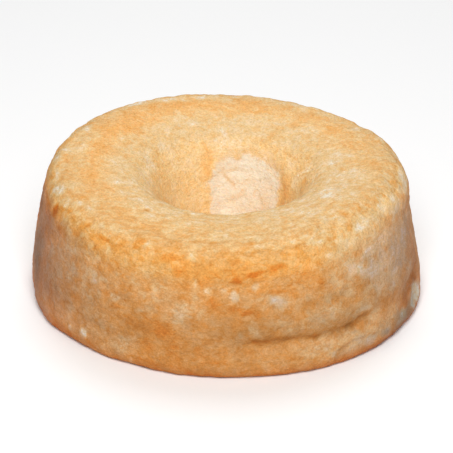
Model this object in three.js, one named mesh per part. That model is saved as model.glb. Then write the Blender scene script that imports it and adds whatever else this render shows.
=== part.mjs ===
// Angel food cake: a tall, soft ring cake, baked in a tube pan and turned out upside down, so that
// the wide side stands on the table and the pan's tube has left a funnel-shaped hole through it.
// Millimetres, +Z up. The cake stands on z = 0 and the middle of its outline is on the Z axis.
// One closed surface: an outline of radius and height is carried round the axis, made slightly
// uneven as a real cake is, and then given the lumps, dimples, folds and torn places of its crust.
import * as THREE from "three";

// ---- driving dimensions ----------------------------------------------------------------------

const body = {
  height: 68, // table to the highest ring of the top
  restRadius: 100, // line of the side wall at the table
  wallTopRadius: 90, // the same line at the height of the top
  belly: 2.2, // how far the wall swells outside that line
  bellySkew: 0.66, // below 1 puts the belly under half height
  footRound: 4, // rounding where the wall meets the table
  shoulderWide: 12.5, // the shoulder is a quarter ellipse this wide
  shoulderTall: 17, // and this tall
};
const top = {
  crownRadius: 78, // the ring that is level
  dish: 3.8, // how far the top has fallen from there to the mouth
};
const hole = {
  mouthRadius: 50, // where the funnel begins
  throatRadius: 30.5, // where its wall stands upright
  funnelDepth: 37, // depth of the funnel's quarter ellipse
  baseRadius: 27, // the hole at the table
  lipRound: 4, // rounding where the hole meets the table
};

// A cake is never quite round or level. Each entry is a slow wave round it: it adds up to size to
// the radius of the top or of the base, or to the height, at each of its lobes. The first lobe
// lies towards the azimuth given, in degrees from +X towards +Y. One lobe is a lean or a tilt.
const uneven = {
  topRadius: [
    { lobes: 1, size: 2.2, towards: 180 },
    { lobes: 2, size: 1.7, towards: 44 },
    { lobes: 3, size: 1.4, towards: 32 },
  ],
  baseRadius: [
    { lobes: 3, size: 1.9, towards: -38 },
    { lobes: 4, size: 0.5, towards: 0 },
  ],
  height: [
    { lobes: 1, size: 1.2, towards: 82 },
    { lobes: 2, size: 2.5, towards: -37 },
  ],
};

// Places where the cake was pressed in a little, or stands out if out is above 0. It fades round
// the wall over wide degrees and up it over tall millimetres.
const pressed = [
  { azimuth: -81, height: 0, wide: 11, tall: 12, out: -0.5 },
  { azimuth: -104, height: 0, wide: 7, tall: 12, out: 0.8 },
  { azimuth: -117, height: 0, wide: 3, tall: 8, out: -0.4 },
  { azimuth: -127, height: 0, wide: 4, tall: 10, out: 0.5 },
  { azimuth: -152, height: 0, wide: 5, tall: 12, out: 0.9 },
  { azimuth: -169, height: 6, wide: 5, tall: 8, out: -0.9 },
  { azimuth: -29, height: 0, wide: 6, tall: 8, out: -0.7 },
  { azimuth: 0, height: 42, wide: 6, tall: 5, out: -0.8 },
  { azimuth: -179, height: 59, wide: 9, tall: 6, out: -0.8 },
  { azimuth: 142, height: 68, wide: 14, tall: 10, out: -1.1 },
  { azimuth: 114, height: 69, wide: 4, tall: 8, out: 0.6 },
  { azimuth: 80, height: 67, wide: 8, tall: 8, out: 1.2 },
  { azimuth: 60, height: 66, wide: 5, tall: 8, out: -0.7 },
  { azimuth: 49, height: 64, wide: 4, tall: 8, out: 0.7 },
  { azimuth: 37, height: 64, wide: 5, tall: 8, out: -0.8 },
];

// Lumps of the crust, from broad to small. size is the distance between one lump and the next.
const lumps = [
  { size: 30, rise: 0.6, seed: 11 },
  { size: 15, rise: 0.45, seed: 23 },
  { size: 8, rise: 0.3, seed: 37 },
];
const topCalm = 0.4; // share of the lumps that the level top lacks

// Folds where the wall sagged while it cooled: a groove that runs round the wall between two
// azimuths, climbing from its middle to its end, with the wall swelling out above it.
const folds = [
  { from: -92, to: -38, height: 18.8, climb: 1.2, reach: 5, depth: 1.9 },
  { from: -34, to: -8, height: 19, climb: 2, reach: 4.5, depth: 1.1 },
  { from: -100, to: -58, height: 47, climb: -4, reach: 5, depth: 1.0 },
  { from: 96, to: 148, height: 26, climb: 3, reach: 4.2, depth: 1.6 },
  { from: 20, to: 62, height: 33, climb: -5, reach: 4.5, depth: 1.3 },
];

const foldShape = {
  fadeFrom: 0.55, // share of its half length from which a fold fades out
  swell: 0.55, // rise of the swelling as a share of the groove's depth
  swellAbove: 1.5, // how far over the groove the swelling lies, in reaches
  groovePinch: 1.3, // how many times narrower than its reach the groove is
  radiusNone: 70, // inside this radius a fold does nothing
  radiusFull: 85, // outside this one it is whole
};

// Places where crust stayed behind in the pan, so that the surface lies lower.
const torn = [
  { name: "tube wall", azimuth: 68, height: 36, radius: 31, wide: 21, tall: 21, depth: 1.6 },
  { name: "foot, right", azimuth: -22, height: 11, radius: 101, wide: 18, tall: 6, depth: 1.2 },
  { name: "foot, front right", azimuth: -50, height: 7, radius: 101, wide: 15, tall: 4, depth: 0.9 },
  { name: "foot, back", azimuth: 118, height: 9, radius: 101, wide: 17, tall: 5, depth: 1.1 },
];

const tornShape = {
  distanceFull: 10, // distance from its radius up to which a place is whole
  distanceNone: 16, // and from which it does nothing
  rimStart: 0.75, // where the rim begins, as a share of the half size
  rimEnd: 1.1, // and where it ends
};

const footClear = 8; // height at which the relief is at its full depth
const footRelief = 0.35; // share of it that the edge of the base has

// Grid of the surface: cells round the axis, and rows in each stretch of the outline.
const around = 96;
const rows = { base: 3, foot: 3, wall: 13, shoulder: 7, top: 8, funnel: 10, throat: 4, lip: 2 };

// ---- small helpers ---------------------------------------------------------------------------

const { PI, sin, cos, pow, hypot, floor, round, max, min } = Math;
const radians = THREE.MathUtils.degToRad;
const smooth = (low, high, x) => THREE.MathUtils.smoothstep(x, low, high);
const bell = (x) => Math.exp(-x * x);

// Shortest way round from one azimuth to another, in degrees.
const turn = (from, to) => to - from - 360 * round((to - from) / 360);

// A repeatable number from 0 to 1 for each corner of a cubic lattice.
function latticeValue(i, j, k, seed) {
  let h = Math.imul(i, 374761393) + Math.imul(j, 668265263);
  h = (h + Math.imul(k, 1442695041) + Math.imul(seed, 1274126177)) | 0;
  h = Math.imul(h ^ (h >>> 13), 1274126177);
  h = Math.imul(h ^ (h >>> 15), 668265263);
  return ((h ^ (h >>> 16)) >>> 0) / 4294967295;
}

// Smooth noise from -1 to 1 whose lumps are one unit apart: the lattice blended by quintic steps.
function noise(x, y, z, seed) {
  const [i, j, k] = [floor(x), floor(y), floor(z)];
  const ease = (t) => t * t * t * (t * (6 * t - 15) + 10);
  const [u, v, w] = [ease(x - i), ease(y - j), ease(z - k)];
  let sum = 0;
  for (let a = 0; a < 2; a++)
    for (let b = 0; b < 2; b++)
      for (let c = 0; c < 2; c++) {
        const share = (a ? u : 1 - u) * (b ? v : 1 - v) * (c ? w : 1 - w);
        sum += share * latticeValue(i + a, j + b, k + c, seed);
      }
  return 2 * sum - 1;
}

// ---- outline ---------------------------------------------------------------------------------

// Radius of the side wall at a height: a straight draft with a low belly on it.
function wallRadius(z) {
  const share = min(max(z / body.height, 0), 1);
  const line = body.restRadius + (body.wallTopRadius - body.restRadius) * share;
  return line + body.belly * sin(PI * pow(share, body.bellySkew));
}

// Height of the top at a radius: level outside the crown ring, sinking as a parabola inside it.
function topHeight(r) {
  const inwards = max(top.crownRadius - r, 0) / (top.crownRadius - hole.mouthRadius);
  return body.height - top.dish * inwards * inwards;
}

const shoulderBottom = body.height - body.shoulderTall;
const shoulderInner = wallRadius(shoulderBottom) - body.shoulderWide;
const footOuter = wallRadius(body.footRound);
const throatHeight = topHeight(hole.throatRadius) - hole.funnelDepth;

// Each stretch of the outline gives [radius, height] for t from 0 to 1. They run from the hole's
// lip out along the base, up the wall, in over the top and down the hole, and close on themselves.
const stretches = {
  base: (t) => {
    const inner = hole.baseRadius + hole.lipRound;
    return [inner + (footOuter - body.footRound - inner) * t, 0];
  },
  foot: (t) => {
    const a = (t * PI) / 2;
    return [footOuter - body.footRound * (1 - sin(a)), body.footRound * (1 - cos(a))];
  },
  wall: (t) => {
    const z = body.footRound + (shoulderBottom - body.footRound) * t;
    return [wallRadius(z), z];
  },
  shoulder: (t) => {
    const a = (t * PI) / 2;
    return [shoulderInner + body.shoulderWide * cos(a), shoulderBottom + body.shoulderTall * sin(a)];
  },
  top: (t) => {
    const r = shoulderInner + (hole.mouthRadius - shoulderInner) * t;
    return [r, topHeight(r)];
  },
  funnel: (t) => {
    const a = (t * PI) / 2;
    const r = hole.mouthRadius - (hole.mouthRadius - hole.throatRadius) * sin(a);
    return [r, topHeight(r) - hole.funnelDepth * (1 - cos(a))];
  },
  throat: (t) => [
    hole.throatRadius + (hole.baseRadius - hole.throatRadius) * t,
    throatHeight + (hole.lipRound - throatHeight) * t,
  ],
  lip: (t) => {
    const a = (t * PI) / 2;
    return [hole.baseRadius + hole.lipRound * (1 - cos(a)), hole.lipRound * (1 - sin(a))];
  },
};

// The outline's points with their outward normals, once round.
function outlinePoints() {
  const points = [];
  for (const [name, count] of Object.entries(rows))
    for (let n = 0; n < count; n++) points.push(stretches[name](n / count));
  return points.map(([r, z], n) => {
    const before = points.at(n - 1);
    const after = points[(n + 1) % points.length];
    const [dr, dz] = [after[0] - before[0], after[1] - before[1]];
    const length = hypot(dr, dz);
    return { r, z, nr: dz / length, nz: -dr / length };
  });
}

// ---- relief of the crust, in millimetres along the normal --------------------------------------

// A groove along a stretch of the wall, with the crust swelling over its upper edge.
function foldRelief(fold, azimuth, r, z) {
  const middle = (fold.from + fold.to) / 2;
  const along = turn(middle, azimuth) / ((fold.to - fold.from) / 2);
  const fade = 1 - smooth(foldShape.fadeFrom, 1, Math.abs(along));
  const up = (z - fold.height - fold.climb * along) / fold.reach;
  const swelling = foldShape.swell * bell(up - foldShape.swellAbove);
  const groove = bell(foldShape.groovePinch * up);
  const onWall = smooth(foldShape.radiusNone, foldShape.radiusFull, r);
  return onWall * fade * fold.depth * (swelling - groove);
}

// A shallow bay with a fairly sharp rim.
function tornRelief(place, azimuth, r, z) {
  const across = (radians(turn(place.azimuth, azimuth)) * place.radius) / place.wide;
  const up = (z - place.height) / place.tall;
  const away = Math.abs(r - place.radius);
  const near = 1 - smooth(tornShape.distanceFull, tornShape.distanceNone, away);
  const inside = 1 - smooth(tornShape.rimStart, tornShape.rimEnd, hypot(across, up));
  return -near * place.depth * inside;
}

function relief(x, y, z, azimuth, r, nz) {
  let rise = 0;
  for (const l of lumps) rise += l.rise * noise(x / l.size, y / l.size, z / l.size, l.seed);
  rise *= 1 - topCalm * max(nz, 0);
  for (const fold of folds) rise += foldRelief(fold, azimuth, r, z);
  for (const place of torn) rise += tornRelief(place, azimuth, r, z);
  return rise;
}

// ---- surface ---------------------------------------------------------------------------------

// The sum of slow waves at an azimuth in radians.
function waves(list, a) {
  return list.reduce((sum, w) => sum + w.size * cos(w.lobes * (a - radians(w.towards))), 0);
}

// How far the pressed places move the wall outwards at an azimuth in degrees and a height.
function pressedOut(azimuth, z) {
  const one = (p) => p.out * bell(turn(p.azimuth, azimuth) / p.wide) * bell((z - p.height) / p.tall);
  return pressed.reduce((sum, p) => sum + one(p), 0);
}

// The point of the uneven cake at an outline point and an azimuth in radians.
function surfacePoint({ r, z, nr, nz }, a) {
  const azimuth = THREE.MathUtils.radToDeg(a);
  const high = z / body.height;
  const outer = smooth(hole.throatRadius, body.wallTopRadius, r); // the hole itself stays round
  const widened = high * waves(uneven.topRadius, a) + (1 - high) * waves(uneven.baseRadius, a);
  const radius = r + outer * (widened + pressedOut(azimuth, z));
  const height = z + outer * high * waves(uneven.height, a);
  const [x, y] = [radius * cos(a), radius * sin(a)];
  const rise = relief(x, y, height, azimuth, r, nz);
  const clear = smooth(0, footClear, z); // the base stays flat on the table
  const outwards = nr * rise * (footRelief + (1 - footRelief) * clear);
  return new THREE.Vector3(
    x + outwards * cos(a),
    y + outwards * sin(a),
    height + nz * rise * clear,
  );
}

function cakeGeometry() {
  const outline = outlinePoints();
  const points = [];
  for (const station of outline)
    for (let n = 0; n < around; n++) points.push(surfacePoint(station, (n / around) * 2 * PI));

  const corners = [];
  for (let m = 0; m < outline.length; m++)
    for (let n = 0; n < around; n++) {
      const [above, beside] = [(m + 1) % outline.length, (n + 1) % around];
      const [p, q] = [m * around + n, m * around + beside];
      const [s, t] = [above * around + n, above * around + beside];
      // The diagonals alternate, so that no row of edges runs slantwise round the cake.
      if ((m + n) % 2) corners.push(p, q, s, q, t, s);
      else corners.push(p, q, t, p, t, s);
    }

  const geometry = new THREE.BufferGeometry().setFromPoints(points);
  geometry.setIndex(corners);
  geometry.computeBoundingBox();
  const { min: low, max: high } = geometry.boundingBox;
  geometry.translate(-(low.x + high.x) / 2, -(low.y + high.y) / 2, 0);
  geometry.computeVertexNormals();
  return geometry;
}

// ---- the part --------------------------------------------------------------------------------

const crust = new THREE.MeshStandardMaterial({
  name: "golden crust",
  color: 0xe2b473,
  roughness: 0.85,
  metalness: 0,
});

const cake = new THREE.Mesh(cakeGeometry(), crust);
cake.name = "cake";

const part = new THREE.Group();
part.name = "angel_food_cake";
part.add(cake);

export default part;
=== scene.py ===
import math
from functools import partial
from types import SimpleNamespace

import bpy
import numpy as np
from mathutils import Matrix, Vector


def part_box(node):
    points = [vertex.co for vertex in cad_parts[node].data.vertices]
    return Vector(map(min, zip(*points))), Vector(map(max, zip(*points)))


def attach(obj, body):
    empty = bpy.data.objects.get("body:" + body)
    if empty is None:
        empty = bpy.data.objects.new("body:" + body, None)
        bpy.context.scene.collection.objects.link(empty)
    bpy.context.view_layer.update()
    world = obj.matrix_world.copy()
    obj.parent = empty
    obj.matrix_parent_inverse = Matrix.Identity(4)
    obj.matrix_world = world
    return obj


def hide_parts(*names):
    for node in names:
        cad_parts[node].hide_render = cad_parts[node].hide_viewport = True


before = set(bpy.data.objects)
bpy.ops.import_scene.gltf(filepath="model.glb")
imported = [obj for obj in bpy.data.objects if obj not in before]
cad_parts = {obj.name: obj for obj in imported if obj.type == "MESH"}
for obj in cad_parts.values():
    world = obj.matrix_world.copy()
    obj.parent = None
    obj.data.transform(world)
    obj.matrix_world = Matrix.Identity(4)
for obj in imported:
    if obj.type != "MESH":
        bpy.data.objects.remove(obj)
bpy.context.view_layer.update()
metre = 0.001  # one millimetre in metres


def smoothStep(low, high, x):  # rises from 0 to 1 between low and high as 3t^2 - 2t^3
    t = np.clip((x - low) / (high - low), 0, 1)
    return t * t * (3 - 2 * t)


def bell(x):  # 1 in the middle, exp(-x^2) to either side
    return np.exp(-x * x)


def turnBetween(start, end):  # shortest way round from one azimuth to another, in degrees
    return end - start - 360 * np.round((end - start) / 360)


def latticeValue(i, j, k, seed):  # repeatable value 0 to 1 for a lattice corner, by whole-number mixing
    h = i * np.uint32(374761393) + j * np.uint32(668265263)
    h = h + k * np.uint32(1442695041) + np.uint32(seed * 1274126177 & 0xFFFFFFFF)
    h = (h ^ (h >> np.uint32(13))) * np.uint32(1274126177)
    h = (h ^ (h >> np.uint32(15))) * np.uint32(668265263)
    return (h ^ (h >> np.uint32(16))).astype(float) / 4294967295


def noise(place, size, seed):  # smooth noise, -1 to 1: lattice values a size apart, blended by quintic steps
    cell = np.floor(place / size)
    part = place / size - cell
    u, v, w = np.moveaxis(part * part * part * (part * (6 * part - 15) + 10), -1, 0)
    i, j, k = np.moveaxis(cell.astype(np.int64).astype(np.uint32), -1, 0)
    total = 0
    for a in (0, 1):
        for b in (0, 1):
            for c in (0, 1):
                share = (u if a else 1 - u) * (v if b else 1 - v) * (w if c else 1 - w)
                corner = (i + np.uint32(a), j + np.uint32(b), k + np.uint32(c))
                total = total + share * latticeValue(*corner, seed)
    return 2 * total - 1


def layeredNoise(place, strength, size, seed, layers, fade):
    # strength times the weighted mean of layers, each half as large and fade times as strong as the last
    total = sum(fade ** n * noise(place, size / 2 ** n, seed + 7 * n) for n in range(layers))
    return strength * (total / sum(fade ** n for n in range(layers)))


def linearColour(hexText):  # sRGB hex to linear light, with alpha 1
    parts = [int(hexText[n:n + 2], 16) / 255 for n in (1, 3, 5)]
    return [p / 12.92 if p <= 0.04045 else ((p + 0.055) / 1.055) ** 2.4 for p in parts] + [1]


# the form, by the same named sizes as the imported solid
cake = {
    "height": 68,            # table to the highest ring of the top
    "restRadius": 100,       # line of the side wall at the table
    "wallTopRadius": 90,     # the same line at the height of the top
    "belly": 2.2,            # how far the wall swells outside that line
    "bellySkew": 0.66,       # below 1 puts the belly under half height
    "footRound": 4,          # rounding where the wall meets the table
    "shoulderWide": 12.5,    # the shoulder is a quarter ellipse this wide
    "shoulderTall": 17,      # and this tall
    "crownRadius": 78,       # the ring of the top that is level
    "dish": 3.8,             # how far the top has fallen from there to the mouth
    "mouthRadius": 50,       # where the funnel begins
    "throatRadius": 30.5,    # where its wall stands upright
    "funnelDepth": 37,       # depth of the funnel's quarter ellipse
    "baseRadius": 27,        # the hole at the table
    "lipRound": 4,           # rounding where the hole meets the table
    "around": 500,           # cells round the axis, and below them the rows in each stretch of the outline
    "rows": {
        "base": 12, "foot": 6, "wall": 58, "shoulder": 27, "top": 33, "funnel": 42, "throat": 12, "lip": 4,
    },
}

# slow waves round the cake: (lobes, size in mm, azimuth of the first lobe)
uneven = {
    "topRadius": [(1, 2.2, 180), (2, 1.7, 44), (3, 1.4, 32)],
    "baseRadius": [(3, 1.9, -38), (4, 0.5, 0)],
    "height": [(1, 1.2, 82), (2, 2.5, -37)],
}

# places pressed in, or standing out: (azimuth, height, half width in degrees, half height, mm outwards)
pressed = [
    (-81, 0, 11, 12, -0.5), (-104, 0, 7, 12, 0.8), (-117, 0, 3, 8, -0.4), (-127, 0, 4, 10, 0.5),
    (-152, 0, 5, 12, 0.9), (-169, 6, 5, 8, -0.9), (-29, 0, 6, 8, -0.7), (0, 42, 6, 5, -0.8),
    (-179, 59, 9, 6, -0.8), (142, 68, 14, 10, -1.1), (114, 69, 4, 8, 0.6), (80, 67, 8, 8, 1.2),
    (60, 66, 5, 8, -0.7), (49, 64, 4, 8, 0.7), (37, 64, 5, 8, -0.8),
]

# lumps of the crust: (distance from one to the next, rise, seed); the last ones are finer than the solid's
lumps = [(30, 0.6, 11), (15, 0.42, 23), (8, 0.24, 37), (4.4, 0.22, 41), (2.6, 0.21, 43), (1.7, 0.16, 47)]
evenLumps = 0.2  # share of their rise that the lumps keep where the crust isn't mottled at all

# edges that crumbled, all round the cake: (reach, half width, distance from one lump to the next, rise, seed)
crumbled = [(1, 3.5, 4, 1.80, 127), (45, 20, 5, 0.20, 139), (72, 8, 5, 0.42, 137), (113, 5, 4, 0.35, 131)]

# folds in the wall: (from azimuth, to azimuth, height, climb, reach, depth, depth of the crease in it)
folds = [
    (-92, -38, 18.8, 1.2, 5.0, 1.9, 0.15),
    (-34, -8, 19, 2, 4.5, 1.1, 0.2),
    (-100, -58, 47, -4, 5, 1.0, 0.0),
    (96, 148, 26, 3, 4.2, 1.6, 0.8),
    (20, 62, 33, -5, 4.5, 1.3, 0.5),
]
foldShape = {
    "fadeFrom": 0.55,        # share of its half length from which a fold fades out
    "swell": 0.55,           # rise of the swelling as a share of the groove's depth
    "swellAbove": 1.5,       # how far over the groove the swelling lies, in reaches
    "groovePinch": 1.3,      # how many times narrower than its reach the groove is
    "radii": (70, 85),       # inside the first a fold does nothing, outside the second it is whole
    "wander": (0.9, 9, 61),  # mm that a fold wanders up and down, mm between bends, seed
    "creaseWander": 1.4,     # how much further the crease wanders
    "creaseWide": 0.9,       # its half width
}

# bays where crust stayed in the pan: (azimuth, height, radius, half width, half height, depth)
torn = [
    (68, 36, 31, 21, 21, 1.6),
    (-22, 11, 101, 18, 6, 1.2),
    (-50, 7, 101, 15, 4, 0.9),
    (118, 9, 101, 17, 5, 1.1),
]
tornShape = {
    "distances": (10, 16),   # a bay is whole within the first from its radius, and ends at the second
    "rim": (0.75, 1.1),      # where its rim begins and ends, as shares of its half size
    "ragged": [(0.09, 6, 67), (0.066, 2.8, 71)],  # how the rim wanders: share, mm between bends, seed
}


def wallRadius(z):  # straight draft from the table to the top, plus half a skewed sine for the belly
    share = np.clip(z / cake["height"], 0, 1)
    line = cake["restRadius"] + (cake["wallTopRadius"] - cake["restRadius"]) * share
    return line + cake["belly"] * np.sin(np.pi * share ** cake["bellySkew"])


def topHeight(r):  # level outside the crown ring, a parabola sinking towards the mouth inside it
    inwards = np.maximum(cake["crownRadius"] - r, 0) / (cake["crownRadius"] - cake["mouthRadius"])
    return cake["height"] - cake["dish"] * inwards ** 2


def outline():  # closed loop of radius and height, the parts of its outward normals, and its reach
    shoulderBottom = cake["height"] - cake["shoulderTall"]
    shoulderInner = wallRadius(shoulderBottom) - cake["shoulderWide"]
    foot, lip = cake["footRound"], cake["lipRound"]
    footOuter = wallRadius(foot)
    throat = cake["throatRadius"]
    throatHeight = topHeight(throat) - cake["funnelDepth"]
    t = {name: np.arange(count) / count for name, count in cake["rows"].items()}
    a = {name: share * np.pi / 2 for name, share in t.items()}
    wallHeight = foot + (shoulderBottom - foot) * t["wall"]
    topRadius = shoulderInner + (cake["mouthRadius"] - shoulderInner) * t["top"]
    funnelRadius = cake["mouthRadius"] - (cake["mouthRadius"] - throat) * np.sin(a["funnel"])
    radius = [
        cake["baseRadius"] + lip + (footOuter - foot - cake["baseRadius"] - lip) * t["base"],
        footOuter - foot * (1 - np.sin(a["foot"])),
        wallRadius(wallHeight),
        shoulderInner + cake["shoulderWide"] * np.cos(a["shoulder"]),
        topRadius,
        funnelRadius,
        throat + (cake["baseRadius"] - throat) * t["throat"],
        cake["baseRadius"] + lip * (1 - np.cos(a["lip"])),
    ]
    height = [
        0 * t["base"],
        foot * (1 - np.cos(a["foot"])),
        wallHeight,
        shoulderBottom + cake["shoulderTall"] * np.sin(a["shoulder"]),
        topHeight(topRadius),
        topHeight(funnelRadius) - cake["funnelDepth"] * (1 - np.cos(a["funnel"])),
        throatHeight + (lip - throatHeight) * t["throat"],
        lip * (1 - np.sin(a["lip"])),
    ]
    r, z = np.concatenate(radius), np.concatenate(height)
    dr, dz = np.roll(r, -1) - np.roll(r, 1), np.roll(z, -1) - np.roll(z, 1)
    length = np.hypot(dr, dz)
    reach = np.concatenate([[0], np.cumsum(np.hypot(np.diff(r), np.diff(z)))])
    return r, z, dz / length, -dr / length, reach - reach[cake["rows"]["base"]]


def waves(entries, azimuth):  # sum of cosines round the cake
    return sum(size * np.cos(np.radians(lobes * (azimuth - towards))) for lobes, size, towards in entries)


def pressedOut(azimuth, z):  # how far the pressed places move the wall outwards: bells in azimuth and height
    return sum(out * bell(turnBetween(middle, azimuth) / wide) * bell((z - height) / tall)
               for middle, height, wide, tall, out in pressed)


def unevenRing():  # the outline carried round the axis, and moved by the slow waves and pressed places
    ring = SimpleNamespace()
    ring.r, ring.z, ring.outwards, ring.upwards, ring.reach = (values[:, None] for values in outline())
    ring.azimuth = np.arange(cake["around"])[None] * 360 / cake["around"]
    ring.turned = np.radians(ring.azimuth)
    high = ring.z / cake["height"]
    outer = smoothStep(cake["throatRadius"], cake["wallTopRadius"], ring.r)
    topWaves, baseWaves = waves(uneven["topRadius"], ring.azimuth), waves(uneven["baseRadius"], ring.azimuth)
    widened = high * topWaves + (1 - high) * baseWaves
    radius = ring.r + outer * (widened + pressedOut(ring.azimuth, ring.z))
    ring.height = ring.z + outer * high * waves(uneven["height"], ring.azimuth)
    ring.place = np.stack([radius * np.cos(ring.turned), radius * np.sin(ring.turned), ring.height], -1)
    return ring


def foldRelief(fold, ring, bends):  # a groove with a swelling over its upper edge and a crease in it
    start, end, height, climb, reach, depth, crease = fold
    along = turnBetween((start + end) / 2, ring.azimuth) / ((end - start) / 2)
    fade = 1 - smoothStep(foldShape["fadeFrom"], 1, np.abs(along))
    up = ring.height - height - climb * along + foldShape["wander"][0] * bends
    swelling = foldShape["swell"] * bell(up / reach - foldShape["swellAbove"])
    groove = depth * (swelling - bell(foldShape["groovePinch"] * up / reach))
    line = crease * bell((up + foldShape["creaseWander"] * bends) / foldShape["creaseWide"])
    return smoothStep(*foldShape["radii"], ring.r) * fade * (groove - line)


def tornRelief(bay, ring, ragged):  # the depth of a bay inside it, falling to 0 over its rim
    middle, height, radius, halfWidth, halfHeight, depth = bay
    across = np.radians(turnBetween(middle, ring.azimuth)) * radius / halfWidth
    near = 1 - smoothStep(*tornShape["distances"], np.abs(ring.r - radius))
    away = np.hypot(across, (ring.height - height) / halfHeight) + ragged
    return -depth * (near * (1 - smoothStep(*tornShape["rim"], away)))


# Tone of the crust is 0 for white crumb and 1 for deep orange brown. Light is the share of red light it gives
# back. Both run along the outline as (reach, tone, light), from the underside to the hole.
# The higher light from reach 118 to 157, down the funnel and the hole, is partly painted light against the
# shade inside the hole.
plainCrustAndHoleLight = [
    (-60, 0.60, 0.54), (-6, 0.90, 0.55), (-1, 1.10, 0.60), (2, 1.10, 0.61), (4.5, 0.98, 0.59),
    (7, 0.76, 0.60), (10.5, 0.59, 0.65), (16, 0.55, 0.63), (22, 0.57, 0.57), (31, 0.52, 0.57),
    (40, 0.50, 0.615), (50, 0.54, 0.68), (58, 0.60, 0.76), (65, 0.59, 0.80), (70, 0.44, 0.77),
    (74, 0.37, 0.75), (77, 0.35, 0.75), (85, 0.37, 0.785), (93, 0.34, 0.80), (101, 0.25, 0.79),
    (112, 0.22, 0.775), (118, 0.20, 0.885), (126, 0.25, 0.915), (140, 0.30, 0.89), (157, 0.34, 0.87),
    (172, 0.44, 0.74), (190, 0.58, 0.56),
]
bareCrumb = {"tone": 0.01, "light": 0.87, "lively": 0.1}

# share of the fine wrinkles along the outline as (reach, share), and how far they fade round the far side
creasedAlong = [(0, 0.35), (60, 0.40), (70, 0.8), (78, 1.0), (108, 1.0), (116, 0.5), (124, 0.15), (150, 0.1)]
creasedRound = {"azimuth": -95, "halfWidth": 65, "far": 0.32}

# share of the mottling's clouds along the outline as (reach, share): the top is evener than the wall
livelyAlong = [
    (0, 0.8), (60, 0.85), (70, 0.8), (80, 0.55), (92, 0.45), (108, 0.45), (116, 0.45), (124, 0.35),
    (160, 0.35), (172, 1),
]
# and where the wall is evener as (azimuth, half width in degrees, share lost)
calmRound = [(-22, 26, 0.10), (-162, 22, 0.10)]

# more green, and so a more golden brown, along the outline as (reach, share of the green added)
goldenAlong = [
    (0, -0.12), (5, -0.10), (10, -0.05), (45, -0.05), (54, -0.03), (60, 0.01), (66, 0.01), (72, 0.00),
    (100, 0.00), (126, 0.02), (150, 0.03), (172, 0.00),
]
# and round the wall as (azimuth, half width in degrees, share): less of it to the left and the right, painted
# shade and sheen that grey the crust where the wall turns from the front light at its edges seen from the
# camera
paintedEdgeShade = [(-168, 26, -0.13), (-14, 24, -0.08)]
# and less of it on a stretch of the table's edge, between the reaches where that ends and where it is whole
redRim = {"azimuth": -44, "halfWidth": 22, "share": -0.10, "reaches": (9, 4)}

# noise of the shapes and shades: (strength, mm from one lump to the next, seed, layers, how each layer fades)
noises = {
    "swirl": (3.8, 8, 61, 3, 0.8),           # mm that a mark's edge wanders round the cake
    "ripple": (3.2, 8, 67, 3, 0.8),          # and along the outline
    "smallSwirl": (1.2, 3.4, 107, 2, 0.8),   # the same for the small marks
    "smallRipple": (1.2, 3.4, 109, 2, 0.8),
    "tongues": (5, 5, 103, 3, 0.7),          # mm that the shoulder's colour reaches down the wall in tongues
    "patchEdge": (0.09, 4, 113, 2, 0.55),    # share of its half size that the bare patch's edge wanders
    "brokenCrumb": (0.35, 3.4, 83, 3, 0.55),  # mm that the bare crumb stands out or in
    "tone": (0.10, 14, 91, 3, 0.55),         # broad unevenness of the browning
    "light": (0.12, 6, 97, 2, 0.55),         # and of the wall's light
}
# where the tongues are, and the cylinder on which their noise is read, which makes them so many times longer
tongues = {"reach": 66, "halfWidth": 9, "radius": 95, "longer": 4}
wanderShare = {"pits": 0.4, "lines": 0.6, "light": 0.5}  # share of the swirl or ripple that these wander with

# where the funnel's crust came away with the tin's tube; its edge runs between these shares of its half size
crumbPatch = {"azimuth": 74.5, "reach": 147.5, "halfWidth": 18.6, "halfHeight": 23.5, "edge": (0.86, 1.06)}

# relief is whole from this height above the table, where this share of it is left
clearOfTable = {"height": 8, "footShare": 0.35}

browning = {
    "palest": (0.03, 0.1),         # tones level out here, over about this much
    "wall": ((58, 68), (-20, 0)),  # reaches over which the wall ends at the shoulder, and under the cake
    "lightFrom": (75, 60),         # reaches where the wall's uneven light ends, and where it is whole
    # share of the mottling that pale marks lose, and how pale they are where that begins and is whole
    "calmMarks": (0.6, (0.16, 0.44)),
    # how much pinker the wall is for each unit of tone below a tone, of which it counts this much at most
    "paleWall": {"pinker": 0.12, "below": 0.42, "most": 0.14},
    # the painted edge shade round the wall acts on a tone by least + steep * tone, kept between two limits
    "edgeShadeTones": {"least": 0.35, "steep": 1.9, "limits": (0.5, 1.6)},
    "goldenFrom": (0, 0.15),       # tones over which the golden share begins
    "markCreases": (0.8, 0.5),     # share of a browner mark's tone that wrinkles gain, and the most it counts
    "crumbCreases": 0.7,           # share of the wrinkles that bare crumb lacks
}
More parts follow.
